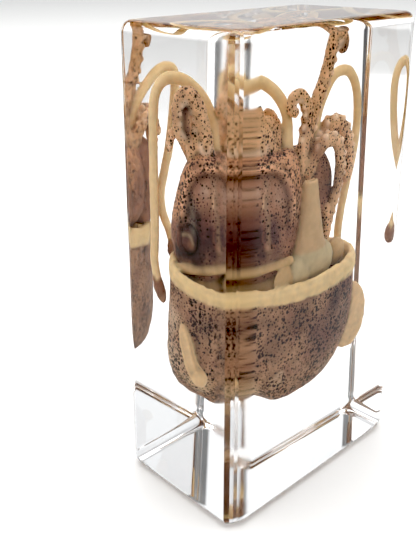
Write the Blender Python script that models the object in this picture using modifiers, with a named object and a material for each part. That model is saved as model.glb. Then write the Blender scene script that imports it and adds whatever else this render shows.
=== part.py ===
"""A bobtail squid cast in a clear block that stands on its end.

Metres, +Z up. The origin is at the middle of the block's underside, +X runs along
the wide face and +Y towards the back. The block was poured in two layers, so it is
parted in two upright halves, and the squid sits in the pocket between them.
Routes and sections are lists of millimetres, turned into metres by MM.
"""

import math

import bmesh
import bpy
from mathutils import Matrix, Vector

MM = 0.001

# The block
BLOCK_WIDTH = 0.0422
BLOCK_DEPTH = 0.025
BLOCK_HEIGHT = 0.0763
EDGE_RADIUS = 0.0024
FOOT_EDGE_RADIUS = 0.0021
TOP_EDGE_RADIUS = 0.0018
EDGE_STEPS = 5
SEAM = 0.0003

# The squid and its pocket are measured from here: along the width, and up from the underside
SQUID_X = -0.00035
SQUID_ZERO = 0.0013

# The pocket: height, middle x, middle y, half width, half depth
POCKET_LEVELS = [
    (10.8, -1.6, 0.6, 4.0, 2.4),
    (11.8, -1.4, 0.6, 9.5, 5.8),
    (14.0, -0.6, 0.6, 15.4, 7.8),
    (18.0, 0.0, 0.6, 19.5, 9.2),
    (29.0, 0.0, 0.6, 19.8, 9.9),
    (38.0, 0.0, 0.8, 18.2, 10.4),
    (50.0, 1.0, 1.1, 18.2, 10.5),
    (64.0, 1.0, 1.2, 18.0, 10.4),
    (69.0, 1.4, 2.0, 16.0, 8.4),
    (72.4, 7.4, 2.4, 7.8, 4.8),
    (74.3, 8.6, 2.3, 4.4, 2.8),
]
POCKET_SIDES = 28
POCKET_SQUARENESS = 3.6

# The mantle: height, middle x, middle y, half width, half depth, lean of the ring
MANTLE_LEVELS = [
    (13.8, -2.0, 0.6, 3.0, 1.6, 0.0),
    (14.3, -2.0, 0.6, 6.8, 3.7, 0.0),
    (15.6, -2.1, 0.6, 9.9, 5.4, 0.0),
    (17.4, -2.2, 0.5, 11.8, 6.6, 0.02),
    (19.8, -2.2, 0.3, 13.1, 7.4, 0.05),
    (23.0, -1.9, 0.0, 14.0, 7.9, 0.1),
    (27.0, -1.7, -0.4, 14.4, 7.9, 0.15),
    (31.0, -1.6, -0.6, 14.5, 7.8, 0.2),
    (33.9, -1.6, -0.6, 14.5, 7.7, 0.22),
    (34.7, -1.6, -0.6, 14.9, 8.1, 0.24),
    (36.1, -1.6, -0.6, 14.8, 8.0, 0.26),
    (37.0, -1.6, -0.6, 14.2, 7.4, 0.27),
    (37.1, -1.6, -0.6, 13.4, 6.6, 0.27),
    (36.2, -1.6, -0.6, 12.7, 5.9, 0.26),
    (33.5, -1.6, -0.6, 12.5, 5.7, 0.22),
    (31.0, -1.6, -0.6, 11.5, 5.2, 0.2),
    (30.0, -1.6, -0.6, 6.0, 2.8, 0.2),
]
MANTLE_TURN = math.radians(-5.5)
MANTLE_SIDES = 48

# The mantle's underside is drawn up towards the left: middle, reach, rise, and the height
# up to which it shows, in millimetres
NOTCH_MIDDLE = (-12.5, 0.0)
NOTCH_REACH = 7.5
NOTCH_RISE = 2.2
NOTCH_TOP = 22.0
NOTCH_FADE = 5.0

# The funnel: height, middle x, middle y, half width, half depth
FUNNEL_LEVELS = [
    (33.5, 0.8, -3.2, 2.6, 1.6),
    (35.5, 0.7, -3.4, 4.4, 2.6),
    (37.5, 0.6, -3.4, 4.9, 3.0),
    (39.0, 0.4, -3.4, 4.3, 2.9),
    (40.5, 0.3, -3.4, 3.5, 2.8),
    (44.0, 0.2, -3.3, 2.6, 2.4),
    (47.5, 0.2, -3.3, 2.0, 1.8),
    (50.2, 0.2, -3.3, 1.6, 1.4),
    (50.8, 0.2, -3.3, 1.2, 1.1),
    (50.2, 0.2, -3.3, 0.8, 0.7),
]
FUNNEL_SIDES = 24

# The left eye lobe, which is hooded and nearly flat on top, in the same measures
LEFT_LOBE_LEVELS = [
    (34.0, -7.0, 0.8, 3.0, 2.4),
    (36.5, -7.1, 1.1, 4.6, 4.0),
    (39.0, -7.1, 1.2, 5.4, 5.0),
    (42.0, -7.0, 1.1, 6.1, 5.9),
    (45.5, -6.8, 0.8, 6.4, 6.1),
    (49.5, -6.5, 0.3, 6.4, 5.9),
    (52.5, -6.7, 0.0, 6.3, 4.9),
    (54.8, -7.0, -0.3, 5.7, 3.7),
    (56.0, -7.0, -0.6, 4.7, 2.7),
    (56.4, -7.0, -0.7, 3.2, 1.8),
]
LOBE_SIDES = 24

# Rounded lumps of the head: middle, half sizes, turn about the upright axis in degrees
HEAD_LUMPS = {
    "right_eye_low": ((4.5, 3.1, 44.6), (4.5, 4.4, 6.6), 0),
    "right_eye_high": ((4.3, 3.1, 48.0), (4.4, 4.2, 6.5), 0),
    "head": ((-1.4, 2.6, 46.0), (6.0, 4.4, 8.0), 0),
    "crown": ((-0.6, 1.6, 52.4), (5.0, 3.4, 3.8), 0),
    "web": ((-8.0, 1.4, 57.6), (4.0, 1.9, 4.2), 0),
    "coil": ((-13.2, 1.4, 60.8), (1.1, 1.6, 2.5), 0),
    "neck": ((-3.4, 0.2, 34.8), (9.5, 5.0, 3.8), -5),
    "funnel_side_left": ((-2.3, -3.9, 36.4), (3.6, 2.5, 3.0), 0),
    "funnel_side_right": ((2.9, -3.4, 36.9), (3.4, 2.5, 3.5), 0),
    "neck_right": ((8.0, -1.6, 36.6), (2.4, 2.3, 2.6), 0),
}

# The ear-shaped fins: middle, half sizes, turn about the upright axis, lean
FINS = {
    "fin_right": ((12.0, -2.6, 23.7), (4.9, 1.1, 6.5), -8, 0),
    "fin_left": ((-16.3, -0.9, 25.0), (2.2, 1.4, 4.8), 0, -19),
    "fin_left_heel": ((-16.0, -3.0, 21.4), (2.2, 1.6, 1.5), 0, 25),
}

# The eight arms: route from the crown outwards, radius at the root and at the tip
ARMS = {
    "long_arm": (
        [(1.0, 0.6, 52.5), (1.4, 0.8, 57.0), (2.9, 1.4, 61.0), (5.0, 1.8, 64.5), (6.3, 2.0, 67.4),
         (7.0, 2.0, 70.0), (7.4, 2.0, 71.4), (8.6, 2.1, 71.9), (9.8, 2.2, 71.3), (9.8, 2.2, 69.9)],
        1.5, 1.3,
    ),
    "hooked_arm": (
        [(-0.6, 0.0, 52.5), (-0.2, -0.6, 57.0), (0.2, -1.0, 60.5), (-0.4, -1.0, 62.8),
         (-2.0, -1.0, 64.0), (-3.7, -1.0, 63.4), (-3.7, -1.0, 61.9), (-2.6, -1.0, 61.3)],
        1.5, 0.9,
    ),
    "near_drooping_arm": (
        [(0.6, 0.0, 51.0), (2.6, -0.8, 54.3), (5.0, -1.1, 56.0), (7.4, -1.2, 55.4), (8.5, -1.2, 52.6),
         (8.2, -1.3, 48.8), (7.0, -1.5, 45.6), (5.9, -1.6, 42.6), (5.3, -1.7, 39.8)],
        1.6, 1.0,
    ),
    "far_drooping_arm": (
        [(3.0, 2.2, 52.0), (4.9, 2.0, 55.6), (7.0, 2.0, 57.6), (9.4, 2.0, 57.8), (11.3, 2.0, 56.2),
         (12.4, 2.0, 53.4), (12.7, 2.0, 50.6), (12.2, 2.0, 48.2)],
        1.9, 1.15,
    ),
    "curled_arm": (
        [(-5.0, 0.6, 54.0), (-8.0, -0.2, 56.7), (-9.5, -0.4, 59.7), (-11.4, -0.3, 63.0), (-12.8, 0.4, 64.8),
         (-13.6, 1.6, 64.8), (-14.0, 2.5, 63.0), (-14.0, 2.6, 60.6), (-13.6, 2.0, 58.6), (-13.0, 0.8, 58.3)],
        1.9, 1.0,
    ),
    "back_left_arm": (
        [(-1.6, 3.2, 52.0), (-3.0, 4.0, 56.5), (-4.0, 4.6, 59.6), (-5.0, 5.4, 61.2), (-6.4, 5.8, 60.6)],
        1.5, 0.9,
    ),
    "back_right_arm": (
        [(1.0, 3.4, 52.0), (3.0, 4.8, 56.0), (4.6, 5.6, 58.2), (6.4, 6.0, 57.6), (7.6, 6.4, 55.0)],
        1.4, 0.85,
    ),
    "hidden_arm": (
        [(-4.6, 2.6, 52.5), (-7.0, 4.2, 56.0), (-9.0, 5.0, 58.4), (-10.8, 5.4, 58.2), (-11.8, 5.6, 56.0)],
        1.5, 0.9,
    ),
}

# The two feeding tentacles: smooth stalks that arch over and hang outside the mantle
TENTACLES = {
    "left_tentacle": (
        [(-3.2, 0.0, 53.0), (-3.4, 0.4, 57.0), (-3.5, 1.0, 61.0), (-4.6, 2.4, 63.9), (-6.6, 4.0, 65.8),
         (-9.0, 5.5, 66.6), (-11.3, 7.0, 66.2), (-12.8, 8.0, 64.0), (-13.0, 8.4, 60.0), (-13.0, 8.5, 52.0),
         (-13.0, 8.4, 46.0), (-13.0, 8.4, 41.5), (-13.0, 8.6, 37.5), (-13.0, 7.9, 34.0)],
        1.3, 1.1,
    ),
    "right_tentacle": (
        [(2.0, 1.0, 53.0), (3.6, 2.0, 57.5), (5.0, 3.0, 60.5), (7.0, 4.0, 63.0), (9.2, 5.0, 65.0),
         (11.8, 5.8, 65.8), (14.4, 6.2, 65.2), (16.0, 5.8, 62.5), (16.3, 5.2, 58.0), (15.5, 4.8, 52.0),
         (13.9, 4.4, 47.0), (12.7, 4.2, 43.0), (12.5, 4.9, 39.5), (13.1, 6.3, 36.4), (13.2, 7.3, 33.8)],
        1.2, 1.15,
    ),
}

# The broad ends of the tentacles: middle, half sizes, turn about the upright axis, lean
CLUBS = {
    "left_club": ((-12.9, 7.6, 33.0), (1.25, 1.3, 3.0), 0, -22),
    "right_club": ((13.3, 7.3, 33.4), (1.9, 1.4, 2.2), 0, 0),
}

ROUTE_STEPS = 3
SKIN_VOXEL = 0.00045
SKIN_SMOOTHING = 3
SQUID_TRIANGLES = 7000

RESIN_COLOUR = (0.96, 0.98, 0.98, 1.0)
SKIN_COLOUR = (0.62, 0.45, 0.32, 1.0)


def clear_scene():
    for obj in list(bpy.data.objects):
        bpy.data.objects.remove(obj, do_unlink=True)


def make_collection(name):
    made = bpy.data.collections.new(name)
    bpy.context.scene.collection.children.link(made)
    return made


def make_object(name, bm, collection):
    mesh = bpy.data.meshes.new(name)
    bm.to_mesh(mesh)
    bm.free()
    obj = bpy.data.objects.new(name, mesh)
    collection.objects.link(obj)
    return obj


def mark_cutter(obj):
    obj.hide_render = True
    obj.display_type = "WIRE"


def resin():
    """Clear casting resin, polished."""
    material = bpy.data.materials.new("clear_resin")
    material.use_nodes = True
    shader = material.node_tree.nodes["Principled BSDF"]
    shader.inputs["Base Color"].default_value = RESIN_COLOUR
    shader.inputs["Roughness"].default_value = 0.02
    shader.inputs["Metallic"].default_value = 0.0
    shader.inputs["Transmission Weight"].default_value = 1.0
    shader.inputs["IOR"].default_value = 1.55
    return material


def skin():
    """Preserved squid skin: waxy, pale brown."""
    material = bpy.data.materials.new("squid_skin")
    material.use_nodes = True
    shader = material.node_tree.nodes["Principled BSDF"]
    shader.inputs["Base Color"].default_value = SKIN_COLOUR
    shader.inputs["Roughness"].default_value = 0.55
    shader.inputs["Metallic"].default_value = 0.0
    return material


def place(x, y, z):
    """A point of the squid or its pocket, given in millimetres."""
    return Vector((x, y, z)) * MM + Vector((SQUID_X, 0.0, SQUID_ZERO))


def loft(rings):
    """A closed skin over rings of points, which all have the same number of points."""
    bm = bmesh.new()
    rows = [[bm.verts.new(point) for point in ring] for ring in rings]
    for low, high in zip(rows, rows[1:]):
        for i in range(len(low)):
            j = (i + 1) % len(low)
            bm.faces.new((low[i], low[j], high[j], high[i]))
    bm.faces.new(list(reversed(rows[0])))
    bm.faces.new(rows[-1])
    bmesh.ops.recalc_face_normals(bm, faces=bm.faces)
    return bm


def ellipse_ring(level, sides, squareness=2.0, turn=0.0):
    """Points round one level; squareness 2 is an ellipse, and more is a rounded box.
    A sixth value in level leans the ring, as a rise per millimetre towards the back."""
    height, mid_x, mid_y, half_x, half_y = level[:5]
    lean = level[5] if len(level) > 5 else 0.0
    ring = []
    for i in range(sides):
        angle = 2 * math.pi * i / sides
        c, s = math.cos(angle), math.sin(angle)
        flat = Vector((
            math.copysign(abs(c) ** (2 / squareness), c) * half_x,
            math.copysign(abs(s) ** (2 / squareness), s) * half_y,
            0.0,
        ))
        flat.rotate(Matrix.Rotation(turn, 3, "Z"))
        ring.append(place(mid_x + flat.x, mid_y + flat.y, height + lean * flat.y))
    return ring


def notched(ring):
    """A ring of the mantle, drawn up where the notch in the underside is."""
    middle = place(*NOTCH_MIDDLE, 0.0)
    for point in ring:
        away = (point.xy - middle.xy).length / (NOTCH_REACH * MM)
        depth = (place(0.0, 0.0, NOTCH_TOP).z - point.z) / (NOTCH_FADE * MM)
        if away < 1 and depth > 0:
            point.z += NOTCH_RISE * MM * (1 - away * away) ** 2 * min(1.0, depth)
    return ring


def smooth_route(points, steps):
    """Points along the smooth curve through a route's own points."""
    ends = [points[0] * 2 - points[1], *points, points[-1] * 2 - points[-2]]
    route = []
    for a, b, c, d in zip(ends, ends[1:], ends[2:], ends[3:]):
        for k in range(steps):
            t = k / steps
            route.append(0.5 * (
                2 * b + (c - a) * t + (2 * a - 5 * b + 4 * c - d) * t * t
                + (3 * b - a - 3 * c + d) * t ** 3
            ))
    route.append(points[-1])
    return route


def tube_mesh(name, route, root_radius, tip_radius):
    """A tapering limb: a curve with a round bevel, turned into a closed mesh."""
    points = smooth_route([place(*point) for point in route], ROUTE_STEPS)
    curve = bpy.data.curves.new(name, "CURVE")
    curve.dimensions = "3D"
    curve.bevel_depth = MM
    curve.bevel_resolution = 2
    curve.use_fill_caps = True
    spline = curve.splines.new("POLY")
    spline.points.add(len(points) - 1)
    for i, point in enumerate(points):
        share = i / (len(points) - 1)
        spline.points[i].co = (*point, 1.0)
        spline.points[i].radius = root_radius + (tip_radius - root_radius) * share
    guide = bpy.data.objects.new(name, curve)
    bpy.context.scene.collection.objects.link(guide)
    bpy.context.view_layer.update()
    evaluated = guide.evaluated_get(bpy.context.evaluated_depsgraph_get())
    mesh = bpy.data.meshes.new_from_object(evaluated)
    mesh.transform(guide.matrix_world)
    bpy.data.objects.remove(guide)
    bm = bmesh.new()
    bm.from_mesh(mesh)
    bpy.data.meshes.remove(mesh)
    bmesh.ops.remove_doubles(bm, verts=bm.verts, dist=1e-6)
    bmesh.ops.recalc_face_normals(bm, faces=bm.faces)
    return bm


def lump_mesh(middle, half_sizes, turn, lean=0.0):
    """A ball drawn out to three half sizes, then leaned and turned."""
    shift = Matrix.Translation(place(*middle))
    spin = Matrix.Rotation(math.radians(turn), 4, "Z") @ Matrix.Rotation(math.radians(lean), 4, "X")
    size = Matrix.Diagonal((*(Vector(half_sizes) * MM), 1.0))
    bm = bmesh.new()
    bmesh.ops.create_uvsphere(bm, u_segments=24, v_segments=16, radius=1.0)
    bmesh.ops.transform(bm, matrix=shift @ spin @ size, verts=bm.verts)
    return bm


def squid_forms():
    """Each form of the animal as a closed mesh of its own."""
    yield loft([notched(ellipse_ring(level, MANTLE_SIDES, turn=MANTLE_TURN)) for level in MANTLE_LEVELS])
    yield loft([ellipse_ring(level, FUNNEL_SIDES) for level in FUNNEL_LEVELS])
    yield loft([ellipse_ring(level, LOBE_SIDES) for level in LEFT_LOBE_LEVELS])
    for lump in HEAD_LUMPS.values():
        yield lump_mesh(*lump)
    for lump in [*FINS.values(), *CLUBS.values()]:
        yield lump_mesh(*lump)
    for name, limb in {**ARMS, **TENTACLES}.items():
        yield tube_mesh(name, *limb)


def add_skin(obj):
    """One continuous skin over all the forms, with few faces where it is flat."""
    remesh = obj.modifiers.new("skin", "REMESH")
    remesh.mode = "VOXEL"
    remesh.voxel_size = SKIN_VOXEL
    smooth = obj.modifiers.new("smooth", "SMOOTH")
    smooth.factor = 0.5
    smooth.iterations = SKIN_SMOOTHING
    bpy.context.view_layer.update()
    evaluated = obj.evaluated_get(bpy.context.evaluated_depsgraph_get())
    faces = sum(len(polygon.vertices) - 2 for polygon in evaluated.data.polygons)
    thin = obj.modifiers.new("thin", "DECIMATE")
    thin.ratio = SQUID_TRIANGLES / faces


def make_squid(collection):
    whole = bmesh.new()
    for form in squid_forms():
        mesh = bpy.data.meshes.new("form")
        form.to_mesh(mesh)
        form.free()
        whole.from_mesh(mesh)
        bpy.data.meshes.remove(mesh)
    squid = make_object("squid", whole, collection)
    squid.data.materials.append(skin())
    squid.data.shade_smooth()
    add_skin(squid)
    return squid


def edge_radius(edge):
    """The round that one edge of the block has."""
    heights = [vert.co.z for vert in edge.verts]
    if max(heights) < BLOCK_HEIGHT / 2:
        return FOOT_EDGE_RADIUS
    return TOP_EDGE_RADIUS if min(heights) > BLOCK_HEIGHT / 2 else EDGE_RADIUS


def block_mesh():
    """The block with sharp edges, each weighted by its own round."""
    bm = bmesh.new()
    size = Matrix.Diagonal((BLOCK_WIDTH, BLOCK_DEPTH, BLOCK_HEIGHT, 1.0))
    bmesh.ops.create_cube(bm, size=1.0, matrix=Matrix.Translation((0, 0, BLOCK_HEIGHT / 2)) @ size)
    weight = bm.edges.layers.float.new("bevel_weight_edge")
    for edge in bm.edges:
        edge[weight] = edge_radius(edge) / EDGE_RADIUS
    return bm


def round_edges(obj):
    bevel = obj.modifiers.new("rounds", "BEVEL")
    bevel.limit_method = "WEIGHT"
    bevel.width = EDGE_RADIUS
    bevel.segments = EDGE_STEPS


def make_pocket(collection):
    rings = [ellipse_ring(level, POCKET_SIDES, POCKET_SQUARENESS) for level in POCKET_LEVELS]
    pocket = make_object("pocket", loft(rings), collection)
    mark_cutter(pocket)
    return pocket


def make_other_side(name, side, collection):
    """A box that takes away the half of the block on the given side of the seam."""
    bm = bmesh.new()
    depth = BLOCK_DEPTH
    middle = Vector((0, side * (depth / 2 - SEAM / 2), BLOCK_HEIGHT / 2))
    size = Matrix.Diagonal((BLOCK_WIDTH * 1.5, depth, BLOCK_HEIGHT * 1.5, 1.0))
    bmesh.ops.create_cube(bm, size=1.0, matrix=Matrix.Translation(middle) @ size)
    box = make_object(name, bm, collection)
    mark_cutter(box)
    return box


def cut(obj, cutter):
    boolean = obj.modifiers.new("cut_" + cutter.name, "BOOLEAN")
    boolean.operation = "DIFFERENCE"
    boolean.object = cutter


def make_half(name, side, pocket, collection, cutters):
    """The half of the block towards -Y for side -1, or towards +Y for side 1."""
    half = make_object(name, block_mesh(), collection)
    round_edges(half)
    cut(half, pocket)
    cut(half, make_other_side("beyond_" + name, -side, cutters))
    half.data.materials.append(resin())
    half.data.shade_smooth()
    half.data.set_sharp_from_angle(angle=math.radians(35))
    return half


def main():
    clear_scene()
    parts = make_collection("squid_in_clear_block")
    cutters = make_collection("cutters")
    pocket = make_pocket(cutters)
    make_half("block_front", -1, pocket, parts, cutters)
    make_half("block_back", 1, pocket, parts, cutters)
    make_squid(parts)


main()
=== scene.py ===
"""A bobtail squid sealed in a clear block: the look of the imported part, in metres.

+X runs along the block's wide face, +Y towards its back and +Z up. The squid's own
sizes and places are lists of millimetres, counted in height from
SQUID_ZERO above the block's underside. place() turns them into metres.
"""

import math

import bmesh
import bpy
import numpy as np
from mathutils import Matrix, Vector, noise
from mathutils.bvhtree import BVHTree


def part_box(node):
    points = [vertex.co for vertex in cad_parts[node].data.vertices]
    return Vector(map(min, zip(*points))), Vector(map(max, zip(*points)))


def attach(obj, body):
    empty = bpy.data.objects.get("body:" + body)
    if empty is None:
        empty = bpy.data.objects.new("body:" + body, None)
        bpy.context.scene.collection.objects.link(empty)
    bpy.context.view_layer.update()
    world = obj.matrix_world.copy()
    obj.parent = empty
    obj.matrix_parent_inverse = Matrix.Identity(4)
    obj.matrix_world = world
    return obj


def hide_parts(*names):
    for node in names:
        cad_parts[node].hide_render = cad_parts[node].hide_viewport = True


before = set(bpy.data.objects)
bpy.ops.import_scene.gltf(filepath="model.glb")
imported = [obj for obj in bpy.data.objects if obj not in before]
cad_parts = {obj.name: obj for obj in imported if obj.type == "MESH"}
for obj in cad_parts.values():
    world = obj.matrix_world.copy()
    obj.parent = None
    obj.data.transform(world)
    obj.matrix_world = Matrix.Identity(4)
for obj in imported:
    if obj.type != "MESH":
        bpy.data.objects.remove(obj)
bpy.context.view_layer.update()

MM = 0.001

# The block's rounded edges: the upright ones, and those at its foot and top
EDGE_RADIUS = 0.0024
FOOT_EDGE_RADIUS = 0.0021
TOP_EDGE_RADIUS = 0.0018
EDGE_STEPS = 16

# The near edge has a wide round beside the wide face: how far along the face it starts, its
# radius and how far it turns. Then come three narrow flats: their turns from the wide face,
# and the length of all but the last, which ends at the narrow face.
NEAR_REACH = 0.0043
NEAR_ARC_RADIUS = 0.0054
NEAR_ARC_TURN = math.radians(28.4)
FLAT_TURNS = [math.radians(turn) for turn in (18, 33, 46)]
FLAT_LENGTH = 0.00062

# The near right edge is rounded further along the wide face, and the back right edge
# further along the right face
NEAR_RIGHT_REACH = 0.004
BACK_RIGHT_REACH = 0.003

RESIN_IOR = 1.55

# The near edge's flats are polished less than the rest: how rough they are, and where that
# starts to fade and where it ends, counted as x plus y from the sharp corner
NEAR_HAZE = 0.14
NEAR_HAZE_REACH = (0.0036, 0.0045)

# The squid is measured from here: along the width, and up from the block's underside
SQUID_X = -0.00035
SQUID_ZERO = 0.0013

# One mesh of this grain covers the whole squid, and is smoothed this many times
SKIN_VOXEL = 0.000288
SKIN_SMOOTHING = 2

# The mantle: height, middle x, middle y, half width, half depth, lean of the ring
MANTLE_LEVELS = [
    (13.8, -2.0, 0.6, 3.0, 1.6, 0.0),
    (14.3, -2.0, 0.6, 6.8, 3.7, 0.0),
    (15.6, -2.1, 0.6, 9.9, 5.4, 0.0),
    (17.4, -2.2, 0.5, 11.8, 6.6, 0.02),
    (19.8, -2.2, 0.3, 13.1, 7.4, 0.05),
    (23.0, -1.9, 0.0, 14.0, 7.9, 0.1),
    (27.0, -1.7, -0.4, 14.4, 7.9, 0.15),
    (31.0, -1.6, -0.6, 14.5, 7.8, 0.2),
    (33.9, -1.6, -0.6, 14.5, 7.7, 0.22),
    (34.7, -1.6, -0.6, 14.9, 8.1, 0.24),
    (36.1, -1.6, -0.6, 14.8, 8.0, 0.26),
    (37.0, -1.6, -0.6, 14.2, 7.4, 0.27),
    (37.1, -1.6, -0.6, 13.4, 6.6, 0.27),
    (36.2, -1.6, -0.6, 12.7, 5.9, 0.26),
    (33.5, -1.6, -0.6, 12.5, 5.7, 0.22),
    (31.0, -1.6, -0.6, 11.5, 5.2, 0.2),
    (30.0, -1.6, -0.6, 6.0, 2.8, 0.2),
]
MANTLE_TURN = math.radians(-5.5)
MANTLE_SIDES = 96

# The mantle's underside is drawn up towards the left: middle, reach, rise, the height up to
# which this shows, and the depth below that height where it is full
NOTCH_MIDDLE = (-12.5, 0.0)
NOTCH_REACH = 7.5
NOTCH_RISE = 2.2
NOTCH_TOP = 22.0
NOTCH_FADE = 5.0

# The lower edge of the mantle's pale rim: its height at RIM_MIDDLE, and its rise along x and y
RIM_MIDDLE = (-1.6, -0.6)
RIM_EDGE = 34.0
RIM_RISE_X = -0.055
RIM_RISE_Y = 0.216

# The funnel: height, middle x, middle y, half width, half depth
FUNNEL_LEVELS = [
    (33.5, 0.8, -3.2, 2.6, 1.6),
    (35.5, 0.7, -3.4, 4.4, 2.6),
    (37.5, 0.6, -3.4, 4.9, 3.0),
    (39.0, 0.4, -3.4, 4.0, 2.9),
    (40.5, 0.3, -3.4, 3.4, 2.8),
    (44.0, 0.2, -3.3, 2.6, 2.4),
    (47.5, 0.2, -3.3, 2.0, 1.8),
    (50.4, 0.2, -3.3, 1.55, 1.35),
    (50.9, 0.2, -3.3, 1.3, 1.15),
    (50.3, 0.2, -3.3, 1.0, 0.85),
    (48.6, 0.2, -3.3, 0.7, 0.6),
]

# The left eye lobe, in the same measures
LEFT_LOBE_LEVELS = [
    (34.0, -7.0, 0.8, 3.0, 2.4),
    (36.5, -7.1, 1.1, 4.6, 4.0),
    (39.0, -7.1, 1.2, 5.4, 5.0),
    (42.0, -7.0, 1.1, 6.1, 5.9),
    (45.5, -6.8, 0.8, 6.3, 6.0),
    (49.5, -6.6, 0.4, 6.0, 5.5),
    (52.5, -6.8, 0.1, 5.7, 4.5),
    (54.6, -7.0, -0.2, 5.2, 3.4),
    (55.7, -7.0, -0.5, 4.3, 2.5),
    (56.1, -7.0, -0.6, 2.8, 1.6),
]
ROUND_SIDES = 40

# Below this height the funnel has the look of the bulges beside it
FUNNEL_FOOT = 39.4

# Rounded lumps: tissue, middle, half sizes, turn about the upright axis and lean in degrees
LUMPS = [
    ("head", (4.5, 3.1, 44.6), (4.4, 4.3, 6.6), 0, 0),
    ("head", (4.3, 3.1, 48.0), (4.3, 4.1, 6.4), 0, 0),
    ("head", (-1.4, 2.6, 46.0), (6.0, 4.4, 8.0), 0, 0),
    ("arm", (-0.6, 1.6, 52.4), (4.6, 3.2, 3.6), 0, 0),
    ("arm", (-8.0, 1.4, 57.6), (3.9, 1.8, 4.0), 0, 0),
    ("arm", (5.9, -1.5, 43.7), (1.15, 0.9, 1.9), 0, 0),
    ("arm", (-13.2, 1.6, 60.8), (0.7, 1.3, 2.3), 0, 0),
    ("collar", (-3.4, 0.2, 34.8), (9.4, 4.9, 3.7), -5, 0),
    ("collar", (-6.4, -4.9, 36.2), (2.3, 1.2, 2.1), 0, 0),
    ("collar", (8.0, -1.6, 36.6), (2.3, 2.2, 2.5), 0, 0),
    ("bulge", (-2.3, -3.9, 36.4), (3.5, 2.4, 2.9), 0, 0),
    ("bulge", (2.9, -3.4, 36.9), (3.3, 2.4, 3.4), 0, 0),
    ("fin", (12.0, -2.6, 23.7), (4.8, 1.0, 6.4), -8, 0),
    ("fin", (-16.3, -0.9, 25.0), (2.2, 1.3, 4.7), 0, -19),
    ("fin", (-16.0, -3.0, 21.4), (2.2, 1.6, 1.4), 0, 25),
    ("club", (-12.9, 7.6, 33.0), (1.15, 1.2, 2.9), 0, -22),
    ("club", (13.3, 7.3, 33.4), (1.8, 1.3, 2.1), 0, 0),
]

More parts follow.
